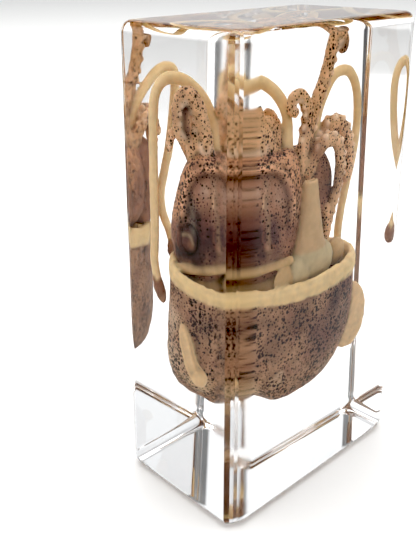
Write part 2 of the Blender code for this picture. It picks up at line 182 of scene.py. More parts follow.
# Limbs: tissue, route from the root outwards, radius at the root and at the tip, and the
# side that carries suckers: 1 outside the bend, -1 inside it, 0 for none
LIMBS = {
    "long_arm": ("arm", [
        (1.0, 0.6, 52.5), (1.4, 0.8, 57.0), (2.9, 1.4, 61.0), (5.0, 1.8, 64.5), (6.3, 2.0, 67.4),
        (7.0, 2.0, 70.0), (7.4, 2.0, 71.4), (8.6, 2.1, 71.9), (9.8, 2.2, 71.3), (9.8, 2.2, 69.9),
    ], 1.3, 1.2, -1),
    "hooked_arm": ("arm", [
        (-0.6, 0.0, 52.5), (-0.2, -0.6, 57.0), (0.2, -1.0, 60.5), (-0.4, -1.0, 62.8),
        (-2.0, -1.0, 64.0), (-3.7, -1.0, 63.4), (-3.7, -1.0, 61.9), (-2.6, -1.0, 61.3),
    ], 1.3, 0.8, -1),
    "near_drooping_arm": ("arm", [
        (0.6, 0.0, 51.0), (2.6, -0.8, 54.3), (5.0, -1.1, 56.0), (7.4, -1.2, 55.4), (8.5, -1.2, 52.6),
        (8.2, -1.3, 48.8), (7.0, -1.5, 45.6), (5.9, -1.6, 42.6), (5.3, -1.7, 39.8),
    ], 1.45, 0.85, 1),
    "far_drooping_arm": ("arm", [
        (3.0, 2.2, 52.0), (4.9, 2.0, 55.6), (7.0, 2.0, 57.6), (9.4, 2.0, 57.8), (11.3, 2.0, 56.2),
        (12.4, 2.0, 53.4), (12.7, 2.0, 50.6), (12.2, 2.0, 48.2),
    ], 1.75, 1.0, 1),
    "curled_arm": ("arm", [
        (-5.0, 0.6, 54.0), (-8.0, -0.2, 56.7), (-9.5, -0.4, 59.7), (-11.4, -0.3, 63.0), (-12.8, 0.4, 64.8),
        (-13.6, 1.6, 64.8), (-14.0, 2.5, 63.0), (-14.0, 2.6, 60.6), (-13.6, 2.0, 58.6), (-13.0, 0.8, 58.3),
    ], 1.7, 0.8, -1),
    "back_left_arm": ("arm", [
        (-1.6, 3.2, 52.0), (-3.0, 4.0, 56.5), (-4.0, 4.6, 59.6), (-5.0, 5.4, 61.2), (-6.4, 5.8, 60.6),
    ], 1.3, 0.6, 1),
    "back_right_arm": ("arm", [
        (1.0, 3.4, 52.0), (3.0, 4.8, 56.0), (4.6, 5.6, 58.2), (6.4, 6.0, 57.6), (7.6, 6.4, 55.0),
    ], 1.2, 0.6, 1),
    "hidden_arm": ("arm", [
        (-4.6, 2.6, 52.5), (-7.0, 4.2, 56.0), (-9.0, 5.0, 58.4), (-10.8, 5.4, 58.2), (-11.8, 5.6, 56.0),
    ], 1.3, 0.6, 1),
    "left_tentacle": ("tentacle", [
        (-3.2, 0.0, 53.0), (-3.4, 0.4, 57.0), (-3.5, 1.0, 61.0), (-4.6, 2.4, 63.9), (-6.6, 4.0, 65.8),
        (-9.0, 5.5, 66.6), (-11.3, 7.0, 66.2), (-12.8, 8.0, 64.0), (-13.0, 8.4, 60.0), (-13.0, 8.5, 52.0),
        (-13.0, 8.4, 46.0), (-13.0, 8.4, 41.5), (-13.0, 8.6, 37.5), (-13.0, 7.9, 34.0),
    ], 1.05, 0.9, 0),
    "right_tentacle": ("tentacle", [
        (2.0, 1.0, 53.0), (3.6, 2.0, 57.5), (5.0, 3.0, 60.5), (7.0, 4.0, 63.0), (9.2, 5.0, 65.0),
        (11.8, 5.8, 65.8), (14.4, 6.2, 65.2), (16.0, 5.8, 62.5), (16.3, 5.2, 58.0), (15.5, 4.8, 52.0),
        (13.9, 4.4, 47.0), (12.7, 4.2, 43.0), (12.5, 4.9, 39.5), (13.1, 6.3, 36.4), (13.2, 7.3, 33.8),
    ], 0.95, 0.95, 0),
    "sucker_ring": ("sucker", [
        (-8.9, -1.6, 57.3), (-9.2, -1.3, 58.1), (-9.6, -0.9, 58.4), (-10.0, -0.6, 58.1), (-10.3, -0.3, 57.3),
        (-10.0, -0.6, 56.5), (-9.6, -0.9, 56.2), (-9.2, -1.3, 56.5), (-8.9, -1.6, 57.2),
    ], 0.34, 0.34, 0),
    "collar_band": ("collar", [
        (-12.6, 4.6, 37.3), (-13.1, 2.4, 37.8), (-12.5, -0.4, 38.2), (-10.5, -3.0, 38.6), (-7.6, -4.5, 38.9),
        (-4.8, -4.8, 39.1),
    ], 0.9, 0.65, 0),
}
LIMB_SIDES = 16

# Steps of the smooth curve between two points of a route
ROUTE_STEPS = 6

# Two more rings round off a limb's tip: how far on they lie, in radii, and how wide they are
TIP_RINGS = ((0.5, 0.87), (0.85, 0.53))

# Suckers: where an arm's first one sits, how far apart they are at its root, how much of that
# is left at a very thin tip, how far the two rows are turned apart, and how far from the
# arm's middle a sucker is and how large, both in radii of the arm, with the least size
SUCKER_START = 4.5
SUCKER_SPACING = 0.95
SUCKER_TIP_SHARE = 0.45
SUCKER_SPREAD = math.radians(38)
SUCKER_STAND = 0.95
SUCKER_SIZE = 0.44
LEAST_SUCKER = 0.34

# The camera, fitted to the block's edges in the photograph, and the nearest that it sees
CAMERA_PLACE = Vector((-0.09042, -0.07779, 0.08598))
CAMERA_AZIMUTH = math.radians(42.19)
CAMERA_ELEVATION = math.radians(18.59)
CAMERA_ROLL = math.radians(-0.62)
IMAGE_WIDTH = 416
IMAGE_HEIGHT = 545
FOCAL_PIXELS = 760.5
AXIS_PIXEL = (179.4, 204.0)
SENSOR = 36.0
NEAREST_SEEN = 0.001

# The block's faces mirror the dim room faintly. This much light, in linear values, is black.
BLACK_LEVEL = (0.1, 0.098, 0.098)

# A square soft light above the block: place, size and power
TOP_LIGHT = ((0.05, 0.05, 0.8), 1.0, 8.0)

# The dim glow of the room all round, and the tint of all its light
ROOM_GLOW = 0.22
ROOM_TINT = (0.97, 0.985, 1.0, 1.0)

# The studio's lights: direction, cosines where each starts and is full, and strength. They
# are a low and a high soft box behind the block, one at its left, one at its right, and the
# ceiling.
SOFT_BOXES = [
    ((0.68, 0.70, 0.15), 0.72, 0.9, 0.83),
    ((0.57, 0.60, 0.56), 0.9, 0.97, 1.14),
    ((-0.85, 0.52, 0.15), 0.65, 0.9, 1.4),
    ((0.62, -0.78, 0.2), 0.7, 0.9, 0.9),
    ((0.0, 0.0, 1.0), 0.5, 0.85, 0.8),
]

# Painted shade darkens the floor at two sides: ways, cosines of the fade, and distances where it starts
# and is full. A bright sheet that widens from its tip along its way lies over that.
DIM_WAYS = [(0.12, 0.993, 0.0), (0.998, 0.06, 0.0)]
DIM_FADE = (0.9, 0.966)
DIM_START = (0.075, 0.14)
SHEET_TIP = (-0.0904, -0.0778, 0.0)
SHEET_WAY = (0.7, 0.714, 0.0)
SHEET_FADE = (0.93, 0.953)

# Two round patches of painted shade lie on the floor, out of the picture's own view: middle and
# reach, how dark they are, how much darker their rim is, and its width on each side
FLOOR_DISCS = [((0.43, -0.44, 0.0), 0.33), ((-0.47, 0.33, 0.0), 0.155)]
DISC_SHADE = 0.36
DISC_RIM = 0.3
DISC_RIM_WIDTH = 0.02

# Under the block a thin layer of air is left above the floor
AIR_GAP = 0.0001
FLOOR_HALF_WIDTH = 3.0


def tone(red, green, blue):
    """A colour as seen, 0 to 255, turned into the linear values that shaders use."""
    linear = [((c / 255 + 0.055) / 1.055) ** 2.4 for c in (red, green, blue)]
    return (*linear, 1.0)


# The floor's own pale colour, and the colour of its painted shade
FLOOR_PALE = tone(250, 249, 247)
FLOOR_SHADE = tone(48, 47, 50)

# Each tissue's colour between its dots, their size from 0 for none to about 1, and how deep
# its broad waves and its fine wrinkles are in millimetres
TISSUES = {
    "mantle": (tone(188, 146, 116), 1.12, 0.18, 0.07),
    "rim": (tone(240, 208, 156), 0.0, 0.34, 0.08),
    "fin": (tone(234, 198, 152), 0.05, 0.2, 0.08),
    "funnel": (tone(206, 172, 132), 0.0, 0.08, 0.03),
    "bulge": (tone(204, 184, 146), 0.0, 0.1, 0.03),
    "collar": (tone(202, 168, 124), 0.0, 0.2, 0.06),
    "head": (tone(172, 126, 102), 0.8, 0.14, 0.07),
    "hood": (tone(218, 164, 126), 1.1, 0.14, 0.14),
    "hollow": (tone(176, 130, 106), 0.8, 0.1, 0.06),
    "eye": (tone(110, 76, 64), 0.2, 0.0, 0.05),
    "arm": (tone(230, 184, 142), 0.9, 0.08, 0.17),
    "sucker": (tone(240, 206, 174), 0.35, 0.0, 0.05),
    "tentacle": (tone(238, 205, 157), 0.0, 0.06, 0.03),
    "club": (tone(150, 104, 78), 0.4, 0.06, 0.14),
}
TISSUE_NAMES = list(TISSUES)

# Tissues that patches and streaks leave alone
PLAIN_TISSUES = ("rim", "tentacle", "funnel", "bulge", "fin")

# A flush under the dots, the dots' two colours, and the painted highlight on the hood's pale lip with its
# strength
BLUSH = tone(140, 92, 84)
SMALL_DOT_COLOUR = tone(74, 44, 40)
LARGE_DOT_COLOUR = tone(40, 24, 22)
LIP_HIGHLIGHT_COLOUR = tone(234, 186, 148)
LIP_HIGHLIGHT_STRENGTH = 0.5

# How far a dot is pushed out of round, in metres
DOT_WOBBLE = 0.00016

# Lumps of the skin's broad waves, of its fine wrinkles and of its patches' ragged edges, in
# metres, and how ragged those are. Each finer layer of the lumps is smaller and weaker.
WAVE_SIZE = 0.0035
WRINKLE_SIZE = 0.0009
RAGGED_SIZE = 0.003
RAGGEDNESS = 0.25
LAYER_WEAKENING = 0.9
LAYER_STEP = 2.1

# A patch is at full strength up to this share of its reach
PATCH_CORE = 0.15

# The left eye lobe: its axis, and where it ends towards the right and the back
LOBE_AXIS = (-7.0, 0.6)
LOBE_RIGHT = -0.5
LOBE_BACK = 6.5

# The hood over the left eye lobe is arched: its middle about the lobe's axis and half its
# width, in degrees, the heights where the arch starts to close and where it ends, and how
# square the arch is. The hood's skin starts at HOOD_FOOT.
HOOD_MIDDLE = 229
HOOD_HALF_WIDTH = 63
HOOD_SPRING = 47.0
HOOD_TOP = 54.1
HOOD_SQUARENESS = 2.5
HOOD_FOOT = 45.0

# The hood's lip: how high it is, its place and width as shares of the hood, and the heights
# between which it comes up
HOOD_LIP = 0.45
LIP_PLACE = -0.16
LIP_WIDTH = 0.15
LIP_RISE = (44.0, 48.0)

# The hollow under the hood: how deep it is, the shares of the hood and the heights between
# which it deepens, and where its own skin starts
HOOD_DEPTH = 0.9
HOLLOW_EDGE = (-0.06, 0.26)
HOLLOW_RISE = (40.0, 46.0)
HOLLOW_FOOT = 46.0

# The left eye: middle and half sizes of its opening on the lobe's left side
EYE_MIDDLE = (0.85, 42.8)
EYE_HALF_SIZES = (2.3, 2.9)
EYE_FRONT = -10.6

# Its lid, socket and ball, as shares of the opening: the lid's crest, width and height, the
# socket's wall and depth, the ball's size and height, and where the eye's own skin ends
LID_CREST = 1.08
LID_WIDTH = 0.14
LID_HEIGHT = 0.25
SOCKET_WALL = (-1.0, -0.78)
SOCKET_DEPTH = 0.5
BALL_SIZE = 0.8
BALL_HEIGHT = 0.35
EYE_SKIN = 0.95

# Patches of deeper or paler skin, some of them painted shade or painted highlights: middle, reach, colour and
# strength
PATCHES = [
    ((-12.5, -0.8, 45.0), 5.4, tone(92, 60, 54), 0.92),
    ((-12.2, -0.6, 41.2), 4.0, tone(70, 46, 44), 0.94),
    ((-9.4, -4.2, 45.0), 3.6, tone(92, 64, 68), 0.9),
    ((-12.8, 2.6, 42.2), 3.4, tone(100, 62, 52), 0.88),
    ((-12.4, 3.6, 39.6), 2.4, tone(66, 42, 42), 0.88),
    ((-8.4, -4.6, 41.0), 2.8, tone(118, 86, 74), 0.78),
    ((-4.4, -4.8, 44.0), 3.2, tone(154, 114, 92), 0.78),
    ((-11.6, -0.6, 40.2), 2.0, tone(60, 40, 38), 0.85),
    ((-11.7, -2.6, 43.8), 3.2, tone(84, 56, 56), 0.85),
    ((-10.9, -3.4, 41.0), 2.6, tone(84, 56, 54), 0.85),
    ((-9.0, -4.6, 43.4), 2.6, tone(84, 58, 60), 0.8),
    # Painted shade in the pocket between the collar and the mantle's rim
    ((-11.8, -3.2, 36.6), 2.8, tone(88, 74, 56), 0.88),
    ((-12.4, 0.4, 36.0), 2.4, tone(112, 94, 70), 0.7),
    # Painted shade under the hood's edge
    ((-12.0, -1.0, 53.6), 2.2, tone(124, 82, 62), 0.7),
    ((-7.0, -4.4, 53.4), 2.4, tone(130, 88, 68), 0.7),
    # Painted highlights in the hollow under the hood
    ((-12.2, -2.2, 50.8), 2.0, tone(206, 170, 146), 0.7),
    ((-7.4, -5.0, 50.2), 3.0, tone(190, 154, 130), 0.7),
    ((-3.0, -4.4, 47.6), 3.6, tone(172, 134, 110), 0.8),
    ((5.2, -8.0, 29.2), 3.6, tone(82, 56, 60), 0.92),
    ((-0.4, -8.4, 25.6), 2.8, tone(106, 76, 72), 0.8),
    ((-4.0, -8.2, 29.0), 5.0, tone(126, 94, 80), 0.8),
    ((9.0, -7.0, 32.0), 4.8, tone(90, 62, 62), 0.9),
    ((3.0, -8.4, 24.0), 8.0, tone(124, 90, 82), 0.85),
    ((9.5, -5.5, 26.0), 6.5, tone(132, 100, 86), 0.8),
    ((-9.0, -6.6, 26.0), 4.0, tone(134, 102, 86), 0.7),
    ((-14.8, -3.6, 29.8), 3.4, tone(134, 104, 88), 0.7),
    ((5.0, -5.0, 17.0), 4.0, tone(206, 176, 144), 0.6),
    ((-15.2, 3.8, 29.0), 4.5, tone(224, 192, 160), 0.75),
    ((-14.6, 4.2, 22.5), 5.4, tone(234, 202, 168), 0.85),
    ((-13.2, -1.0, 18.0), 5.4, tone(240, 206, 164), 0.88),
    ((-8.0, -7.0, 18.5), 3.0, tone(216, 184, 150), 0.7),
    ((9.8, 2.0, 70.0), 2.0, tone(96, 64, 54), 0.85),
    ((6.4, -0.6, 49.0), 4.4, tone(128, 92, 74), 0.8),
    ((6.6, 0.6, 53.0), 3.0, tone(170, 124, 98), 0.5),
    # Painted shadow at the root of the arms
    ((2.4, -1.6, 54.6), 3.4, tone(150, 102, 76), 0.75),
]

# Two folds low on the mantle
MANTLE_FOLDS = [
    [(-15.3, -2.3, 23.2), (-14.1, -3.4, 21.2), (-12.2, -4.9, 20.6), (-9.5, -5.8, 19.5), (-7.3, -6.8, 20.7)],
    [(-13.4, -3.0, 18.8), (-11.9, -4.3, 18.8), (-10.3, -4.6, 17.8)],
]

# Streaks of colour over the skin: route, half width, colour and strength. They draw the left
# eye, its lids, the creases and the ridge beside it, and the crests of folds, with painted
# highlights on the eye and in the hollow under the hood, and a painted shadow beside the left fin.
STREAKS = [
    ([(-13.4, 1.0, 63.2), (-13.5, 1.2, 61.4), (-13.3, 1.0, 59.2)], 1.0, tone(82, 50, 44), 0.92),
    ([(-13.0, 0.6, 48.2), (-13.1, 0.2, 46.4), (-13.0, -0.1, 44.4)], 1.0, tone(122, 110, 98), 0.75),
    ([(-12.9, -0.9, 47.0), (-12.9, -1.3, 44.6), (-12.8, -1.0, 42.2), (-12.6, 0.2, 40.8), (-12.5, 1.8, 40.2),
      (-12.4, 3.6, 40.6)], 0.75, tone(46, 32, 32), 0.88),
    ([(-13.0, 2.4, 45.6), (-13.0, 2.9, 44.6), (-13.0, 2.4, 43.8)], 0.6, tone(58, 38, 32), 0.85),
    # A painted highlight on the eye
    ([(-13.0, 2.5, 43.3), (-13.1, 1.5, 43.5), (-13.1, 0.5, 43.2), (-13.0, 0.0, 42.2)],
     0.3, tone(190, 164, 132), 0.6),
    ([(-13.0, 0.8, 42.2), (-13.0, 0.2, 41.6)], 0.6, tone(140, 98, 78), 0.7),
    # A painted pale bar of light in the hollow, and a painted highlight on the crest of a fold there
    ([(-10.2, -3.9, 52.2), (-10.5, -4.0, 49.6), (-10.7, -4.0, 46.8)], 0.8, tone(188, 158, 132), 0.6),
    ([(-10.9, -3.6, 51.2), (-10.9, -3.6, 48.6)], 0.2, tone(232, 196, 150), 0.7),
    ([(-10.9, -3.7, 48.2), (-10.6, -3.9, 45.5), (-10.9, -3.8, 43.2), (-10.0, -4.2, 42.2), (-8.4, -4.6, 42.2)],
     0.3, tone(156, 102, 78), 0.6),
    ([(-13.0, -0.9, 41.0), (-12.4, -2.0, 40.8), (-11.4, -3.0, 41.4)], 0.2, tone(150, 88, 62), 0.6),
    ([(-13.2, -4.0, 30.6), (-11.4, -5.6, 30.4), (-9.8, -6.4, 30.0)], 1.2, tone(116, 86, 74), 0.6),
    # A painted shadow beside the left fin's front edge
    ([(-15.4, -2.4, 27.6), (-15.2, -3.2, 25.4), (-14.6, -4.2, 23.6)], 0.7, tone(112, 82, 66), 0.8),
    (MANTLE_FOLDS[0], 0.4, tone(226, 198, 164), 0.7),
    (MANTLE_FOLDS[1], 0.4, tone(226, 198, 164), 0.7),
    ([(-9.9, -4.4, 46.6), (-9.8, -4.4, 43.6), (-9.4, -4.4, 40.0)], 0.55, tone(176, 140, 112), 0.75),
]

# Painted shade deepens the colour in hollows and a painted highlight pales crests: the depth in metres
# where this is full, how much each changes, and the rounds of averaging that the skin is measured against
CAVITY_DEPTH = 0.0002
CAVITY_SHADE = 0.65
CREST_SHINE = 0.3
CAVITY_ROUNDS = 10

# Folds of the skin: routes of their crests, width and height, which is below 0 for a groove
FOLDS = [
    ([(-17.3, -0.4, 28.8), (-17.6, -1.9, 25.2), (-17.3, -3.2, 21.8)], 0.4, 0.4),
    ([(-18.2, 0.3, 27.8), (-18.4, -0.8, 25.0), (-18.2, -1.9, 22.2)], 0.5, -0.35),
    (MANTLE_FOLDS[0], 0.45, 0.5),
    (MANTLE_FOLDS[1], 0.45, 0.4),
    ([(-12.2, 2.0, 50.0), (-12.6, 0.6, 47.4), (-12.6, -1.0, 46.6)], 0.35, 0.25),
    ([(-10.4, -3.6, 51.2), (-10.9, -3.6, 48.4), (-10.9, -3.7, 44.0), (-9.8, -4.2, 42.0)], 0.3, 0.3),
]


def place(x, y, z):
    """A point of the squid, given in millimetres."""
    return Vector((x, y, z)) * MM + Vector((SQUID_X, 0.0, SQUID_ZERO))


def smooth_route(points, steps):
    """Points along the smooth curve through a route's own points."""
    ends = [points[0] * 2 - points[1], *points, points[-1] * 2 - points[-2]]
    route = []
    for a, b, c, d in zip(ends, ends[1:], ends[2:], ends[3:]):
        for k in range(steps):
            t = k / steps
            route.append(0.5 * (
                2 * b + (c - a) * t + (2 * a - 5 * b + 4 * c - d) * t * t
                + (3 * b - a - 3 * c + d) * t ** 3
            ))
    route.append(points[-1])
    return route


class Forms:
    """Closed meshes gathered in one, each face remembering which tissue it belongs to."""

    def __init__(self):
        self.points = []
        self.faces = []
        self.tissues = []

    def loft(self, tissue, rings):
        """A closed skin over rings, which all have the same number of points."""
        sides = len(rings[0])
        start = len(self.points)
        for ring in rings:
            self.points.extend(ring)
        before = len(self.faces)
        for row in range(len(rings) - 1):
            low = start + row * sides
            for i in range(sides):
                j = (i + 1) % sides
                self.faces.append((low + i, low + j, low + sides + j, low + sides + i))
        last = start + (len(rings) - 1) * sides
        self.faces.append(tuple(reversed(range(start, start + sides))))
        self.faces.append(tuple(range(last, last + sides)))
        self.tissues.extend([tissue] * (len(self.faces) - before))

    def ball(self, tissue, middle, half_sizes, turn=0.0, lean=0.0, steps=14, sides=28):
        """A ball drawn out to three half sizes, then leaned and turned."""
        spin = Matrix.Rotation(math.radians(turn), 3, "Z") @ Matrix.Rotation(math.radians(lean), 3, "X")
        rings = []
        for k in range(1, steps):
            polar = math.pi * (1 - k / steps)
            ring = []
            for i in range(sides):
                angle = 2 * math.pi * i / sides
                point = Vector((
                    half_sizes[0] * math.sin(polar) * math.cos(angle),
                    half_sizes[1] * math.sin(polar) * math.sin(angle),
                    half_sizes[2] * math.cos(polar),
                )) * MM
                ring.append(middle + spin @ point)
            rings.append(ring)
        self.loft(tissue, rings)

    def limb(self, tissue, route, radii):
        """A tube along a route, with a rounded tip."""
        side, _ = across(route)
        rings = []
        for i, (point, radius) in enumerate(zip(route, radii)):
            along = direction(route, i)
            side = (side - along * side.dot(along)).normalized()
            up = along.cross(side)
            rings.append([
                point + (side * math.cos(a) + up * math.sin(a)) * radius
                for a in (2 * math.pi * k / LIMB_SIDES for k in range(LIMB_SIDES))
            ])
        for bulge, share in TIP_RINGS:
            tip = route[-1] + along * radii[-1] * bulge
            rings.append([tip + (p - route[-1]) * share for p in rings[len(route) - 1]])
        self.loft(tissue, rings)


def direction(route, i):
    """Which way a route runs at one of its points."""
    return (route[min(i + 1, len(route) - 1)] - route[max(i - 1, 0)]).normalized()


def across(route):
    """A direction across the start of a route, and the axis that the route bends about."""
    bend = Vector()
    for i in range(1, len(route) - 1):
        bend += (route[i] - route[i - 1]).cross(route[i + 1] - route[i])
    start = direction(route, 0)
    bend = bend.normalized() if bend.length > 0 else start.orthogonal()
    side = bend.cross(start)
    return side.normalized(), bend


def ellipse_ring(level, sides, turn=0.0):
    """Points round one level. A sixth value leans the ring, as a rise towards the back."""
    height, mid_x, mid_y, half_x, half_y = level[:5]
    lean = level[5] if len(level) > 5 else 0.0
    ring = []
    for i in range(sides):
        angle = 2 * math.pi * i / sides
        flat = Vector((math.cos(angle) * half_x, math.sin(angle) * half_y, 0.0))
        flat.rotate(Matrix.Rotation(turn, 3, "Z"))
        ring.append(place(mid_x + flat.x, mid_y + flat.y, height + lean * flat.y))
    return ring


def notched(ring):
    """A ring of the mantle, drawn up where the notch in the underside is."""
    middle = place(*NOTCH_MIDDLE, 0.0)
    for point in ring:
        away = (point.xy - middle.xy).length / (NOTCH_REACH * MM)
        depth = (place(0.0, 0.0, NOTCH_TOP).z - point.z) / (NOTCH_FADE * MM)
        if away < 1 and depth > 0:
            point.z += NOTCH_RISE * MM * (1 - away * away) ** 2 * min(1.0, depth)
    return ring


def add_suckers(forms, route, radii, side_sign):
    """Two rows of round suckers along the side of an arm that its bend shows."""
    _, bend = across(route)
    gone = 0.0
    next_at = SUCKER_START * MM
    row = 1
    for i in range(1, len(route)):
        gone += (route[i] - route[i - 1]).length
        if gone < next_at:
            continue
        along = direction(route, i)
        outward = along.cross(bend).normalized() * side_sign
        turned = outward.copy()
        turned.rotate(Matrix.Rotation(SUCKER_SPREAD * row, 3, along))
        size = max(LEAST_SUCKER, SUCKER_SIZE * radii[i] / MM)
        middle = route[i] + turned * radii[i] * SUCKER_STAND
        forms.ball("sucker", middle, (size, size, size), steps=6, sides=10)
        row = -row
        thinned = SUCKER_TIP_SHARE + (1 - SUCKER_TIP_SHARE) * radii[i] / radii[0]
        next_at += SUCKER_SPACING * MM * thinned


def squid_forms():
    """Every form of the animal, which one skin then covers."""
    forms = Forms()
    rings = [notched(ellipse_ring(level, MANTLE_SIDES, MANTLE_TURN)) for level in MANTLE_LEVELS]
    forms.loft("mantle", rings)
    forms.loft("funnel", [ellipse_ring(level, ROUND_SIDES) for level in FUNNEL_LEVELS])
    forms.loft("head", [ellipse_ring(level, ROUND_SIDES) for level in LEFT_LOBE_LEVELS])
    for tissue, middle, half_sizes, turn, lean in LUMPS:
        forms.ball(tissue, place(*middle), half_sizes, turn, lean)
    for tissue, points, root, tip, side_sign in LIMBS.values():
        route = smooth_route([place(*point) for point in points], ROUTE_STEPS)
        radii = [(root + (tip - root) * i / (len(route) - 1)) * MM for i in range(len(route))]
        forms.limb(tissue, route, radii)
        if side_sign:
            add_suckers(forms, route, radii, side_sign)
    return forms


def fused_skin(forms):
    """One continuous mesh over all the forms."""
    mesh = bpy.data.meshes.new("forms")
    mesh.from_pydata(forms.points, [], forms.faces)
    bm = bmesh.new()
    bm.from_mesh(mesh)
    bmesh.ops.recalc_face_normals(bm, faces=bm.faces)
    bm.to_mesh(mesh)
    bm.free()
    guide = bpy.data.objects.new("forms", mesh)
    bpy.context.scene.collection.objects.link(guide)
    remesh = guide.modifiers.new("skin", "REMESH")
    remesh.mode = "VOXEL"
    remesh.voxel_size = SKIN_VOXEL
    smooth = guide.modifiers.new("smooth", "SMOOTH")
    smooth.factor = 0.5
    smooth.iterations = SKIN_SMOOTHING
    bpy.context.view_layer.update()
    evaluated = guide.evaluated_get(bpy.context.evaluated_depsgraph_get())
    skin = bpy.data.meshes.new_from_object(evaluated)
    bpy.data.objects.remove(guide)
    skin.name = "squid_skin"
    return skin


def nearest_tissues(points, forms):
    """For each point of the skin, the number of the tissue whose form is nearest."""
    tree = BVHTree.FromPolygons(forms.points, forms.faces)
    numbers = [TISSUE_NAMES.index(tissue) for tissue in forms.tissues]
    return np.array([numbers[tree.find_nearest(point)[2]] for point in points])


def tissue_values(tissue, column):
    """At each point of the skin, one of the values that TISSUES gives its tissue."""
    return np.array([TISSUES[name][column] for name in TISSUE_NAMES])[tissue]


def is_tissue(tissue, *names):
    """Which points of the skin have one of the named tissues."""
    return np.isin(tissue, [TISSUE_NAMES.index(name) for name in names])


def soft_step(values, low, high):
    """0 below low, 1 above high, and a smooth rise between."""
    t = np.clip((values - low) / (high - low), 0.0, 1.0)
    return t * t * (3 - 2 * t)


def spread(values, edges, rounds):
    """Values blurred over the mesh by averaging each point with its neighbours."""
    values = values.astype(float)
    count = np.bincount(edges.ravel(), minlength=len(values)).astype(float)
    shape = (-1,) + (1,) * (values.ndim - 1)
    for _ in range(rounds):
        total = np.zeros_like(values)
        np.add.at(total, edges[:, 0], values[edges[:, 1]])
        np.add.at(total, edges[:, 1], values[edges[:, 0]])
        values = 0.5 * values + 0.5 * total / count.reshape(shape)
    return values


def rim_height(p):
    """Height above the lower edge of the mantle's pale rim, in millimetres."""
    rise = RIM_RISE_X * (p[:, 0] - RIM_MIDDLE[0]) + RIM_RISE_Y * (p[:, 1] - RIM_MIDDLE[1])
    return p[:, 2] - (RIM_EDGE + rise)


def grain(points, size, octaves=3, seed=0.0):
    """Smooth noise between about -1 and 1, with lumps of the given size in metres."""
    offset = Vector((seed, seed * 1.7, seed * 0.6))
    spots = [Vector(p) / size + offset for p in points]
    return np.array([noise.fractal(spot, LAYER_WEAKENING, LAYER_STEP, octaves) for spot in spots])


def distance(p, middle):
    """How far each point is from a middle."""
    return np.linalg.norm(p - np.array(middle), axis=1)


def hood_share(p):
    """Above 0 inside the hood's arch, below 0 outside it, and 0 at its edge."""
    turn = np.degrees(np.arctan2(p[:, 1] - LOBE_AXIS[1], p[:, 0] - LOBE_AXIS[0])) % 360
    across_arch = np.abs(turn - HOOD_MIDDLE) / HOOD_HALF_WIDTH
    up_arch = np.clip((p[:, 2] - HOOD_SPRING) / (HOOD_TOP - HOOD_SPRING), 0.0, 2.0)
    return 1 - (across_arch ** HOOD_SQUARENESS + up_arch ** HOOD_SQUARENESS)


def hood_lip(p):
    """1 on the crest of the hood's free edge and falling to 0 beside it."""
    return np.exp(-((hood_share(p) - LIP_PLACE) / LIP_WIDTH) ** 2) * soft_step(p[:, 2], *LIP_RISE)


def eye_share(p):
    """Distance from the eye's middle over the lobe's side: 1 at the edge of its opening."""
    across_eye = (p[:, 1] - EYE_MIDDLE[0]) / EYE_HALF_SIZES[0]
    up_eye = (p[:, 2] - EYE_MIDDLE[1]) / EYE_HALF_SIZES[1]
    share = np.hypot(across_eye, up_eye)
    return np.where(p[:, 0] < EYE_FRONT, share, np.inf)


def name_tissues(p, tissue):
    """Tissues that are parts of a form: the mantle's rim, and the lobe's hood and eye."""
    number = TISSUE_NAMES.index
    tissue = tissue.copy()
    tissue[is_tissue(tissue, "mantle") & (rim_height(p) > 0)] = number("rim")
    lobe = is_tissue(tissue, "head") & (p[:, 0] < LOBE_RIGHT) & (p[:, 1] < LOBE_BACK)
    inside = lobe & (hood_share(p) > 0)
    tissue[lobe & ~inside & (p[:, 2] > HOOD_FOOT)] = number("hood")
    tissue[inside & (p[:, 2] > HOLLOW_FOOT)] = number("hollow")
    tissue[lobe & (eye_share(p) < EYE_SKIN)] = number("eye")
    tissue[is_tissue(tissue, "funnel") & (p[:, 2] < FUNNEL_FOOT)] = number("bulge")
    return tissue


def relief(points, p, tissue, lobe):
    """How far each point of the skin stands out or in, in millimetres."""
    depth = tissue_values(tissue, 2) * grain(points, WAVE_SIZE, octaves=2, seed=3.0)
    depth += tissue_values(tissue, 3) * grain(points, WRINKLE_SIZE, octaves=3, seed=7.0)
    # The hood's free edge is a rounded lip, and below it lies a shallow hollow
    depth += HOOD_LIP * lobe * hood_lip(p)
    under_hood = soft_step(hood_share(p), *HOLLOW_EDGE) * soft_step(p[:, 2], *HOLLOW_RISE)
    depth -= HOOD_DEPTH * lobe * under_hood
    eye = eye_share(p)
    lid = np.exp(-((eye - LID_CREST) / LID_WIDTH) ** 2)
    socket = soft_step(-eye, *SOCKET_WALL)
    ball = np.sqrt(np.clip(1 - (eye / BALL_SIZE) ** 2, 0.0, 1.0))
    depth += lobe * (LID_HEIGHT * lid - SOCKET_DEPTH * socket + BALL_HEIGHT * ball)
    for route, width, height in FOLDS:
        depth += height * fold_share(p, route, width)
    return depth


def fold_share(p, route, width):
    """1 on a fold's crest and falling to 0 beside it."""
    crest = smooth_route([Vector(point) for point in route], ROUTE_STEPS)
    nearest = np.min([distance(p, point) for point in crest], axis=0)
    return np.exp(-(nearest / width) ** 2)


def cavity(points, normals, edges):
    """Above 0 where the skin is hollow and below 0 where it stands out, up to about 1."""
    sunken = np.sum((spread(points, edges, CAVITY_ROUNDS) - points) * normals, axis=1)
    return np.clip(sunken / CAVITY_DEPTH, -1.0, 1.0)


def blended(colours, colour, share):
    """Colours at each point, with a share of another colour put over them."""
    return colours * (1 - share[:, None]) + np.array(colour[:3]) * share[:, None]


